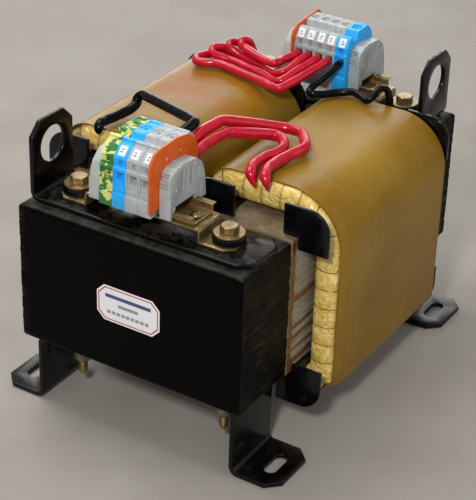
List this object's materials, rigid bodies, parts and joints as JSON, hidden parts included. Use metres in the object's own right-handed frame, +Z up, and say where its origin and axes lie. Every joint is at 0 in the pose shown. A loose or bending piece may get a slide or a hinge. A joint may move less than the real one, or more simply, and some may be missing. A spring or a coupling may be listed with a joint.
{
  "type": "single-phase transformer",
  "caption": "Dry-type core-and-coil transformer on angle feet, with lifting ears, taped coils in amber wrap, sleeved leads and rail-mounted terminals.",
  "frame": {"origin": "on the ground plane, below the middle of the object", "axes": "+X along the yokes towards the right, +Y from the front yoke to the rear yoke, +Z up"},
  "size_m": [0.2714, 0.355, 0.2635],
  "materials": {
    "black_paint": "gloss black paint over steel",
    "varnished_core_steel": "sheet edges under brown varnish",
    "yellow_zinc": "yellow-passivated zinc plate",
    "black_insulation": "black insulating board",
    "varnished_tape": "glass tape over the winding, varnished",
    "amber_wrap": "translucent varnished sheet",
    "grey_terminal_plastic": "moulded, light grey",
    "blue_terminal_plastic": "moulded, blue",
    "earth_terminal_plastic": "moulded, green with yellow",
    "orange_plate_plastic": "moulded, orange",
    "red_sleeve": "glossy varnished sleeve, red",
    "black_sleeve": "glossy varnished sleeve, black"
  },
  "bodies": {
    "transformer": {"core_i_stack": "black_paint", "front_top_clamp": "black_paint", "rear_top_clamp": "black_paint", "front_foot_plate": "black_paint", "rear_foot_plate": "black_paint", "core_u_stack": "varnished_core_steel", "front_rail_bracket": "yellow_zinc", "front_din_rail": "yellow_zinc", "clamp_bolt_front_left": "yellow_zinc", "plain_washer_front_left": "yellow_zinc", "clamp_nuts_front_left": "yellow_zinc", "rail_screw_front_left": "yellow_zinc", "insulating_washer_front_left": "black_insulation", "clamp_bolt_front_right": "yellow_zinc", "plain_washer_front_right": "yellow_zinc", "clamp_nuts_front_right": "yellow_zinc", "rail_screw_front_right": "yellow_zinc", "insulating_washer_front_right": "black_insulation", "rear_rail_bracket": "yellow_zinc", "rear_din_rail": "yellow_zinc", "clamp_bolt_rear_left": "yellow_zinc", "plain_washer_rear_left": "yellow_zinc", "clamp_nuts_rear_left": "yellow_zinc", "rail_screw_rear_left": "yellow_zinc", "insulating_washer_rear_left": "black_insulation", "clamp_bolt_rear_right": "yellow_zinc", "plain_washer_rear_right": "yellow_zinc", "clamp_nuts_rear_right": "yellow_zinc", "rail_screw_rear_right": "yellow_zinc", "insulating_washer_rear_right": "black_insulation", "left_coil_former": "black_insulation", "left_winding": "varnished_tape", "left_outer_wrap": "amber_wrap", "right_coil_former": "black_insulation", "right_winding": "varnished_tape", "right_outer_wrap": "amber_wrap", "front_earth_terminal": "earth_terminal_plastic", "front_neutral_terminal": "blue_terminal_plastic", "rear_neutral_terminal": "blue_terminal_plastic", "front_grey_terminal_1": "grey_terminal_plastic", "front_grey_terminal_2": "grey_terminal_plastic", "rear_grey_terminal_1": "grey_terminal_plastic", "rear_grey_terminal_2": "grey_terminal_plastic", "rear_grey_terminal_3": "grey_terminal_plastic", "rear_grey_terminal_4": "grey_terminal_plastic", "front_end_plate": "orange_plate_plastic", "rear_end_plate": "orange_plate_plastic", "front_red_lead_1": "red_sleeve", "front_red_lead_2": "red_sleeve", "rear_red_lead_1": "red_sleeve", "rear_red_lead_2": "red_sleeve", "rear_red_lead_3": "red_sleeve", "rear_red_lead_4": "red_sleeve", "front_black_lead": "black_sleeve", "rear_black_lead": "black_sleeve"},
    "front_left_stop": {"front_end_stop_left": "grey_terminal_plastic"},
    "front_right_stop": {"front_end_stop_right": "grey_terminal_plastic"},
    "rear_left_stop": {"rear_end_stop_left": "grey_terminal_plastic"},
    "rear_right_stop": {"rear_end_stop_right": "grey_terminal_plastic"}
  },
  "joints": [
    {"name": "front_left_stop_slide", "type": "slide", "parent": "transformer", "child": "front_left_stop", "axis": [1, 0, 0], "range_m": [-0.0064, 0]},
    {"name": "front_right_stop_slide", "type": "slide", "parent": "transformer", "child": "front_right_stop", "axis": [1, 0, 0], "range_m": [0, 0.014]},
    {"name": "rear_left_stop_slide", "type": "slide", "parent": "transformer", "child": "rear_left_stop", "axis": [1, 0, 0], "range_m": [-0.006, 0]},
    {"name": "rear_right_stop_slide", "type": "slide", "parent": "transformer", "child": "rear_right_stop", "axis": [1, 0, 0], "range_m": [0, 0.0125]}
  ]
}
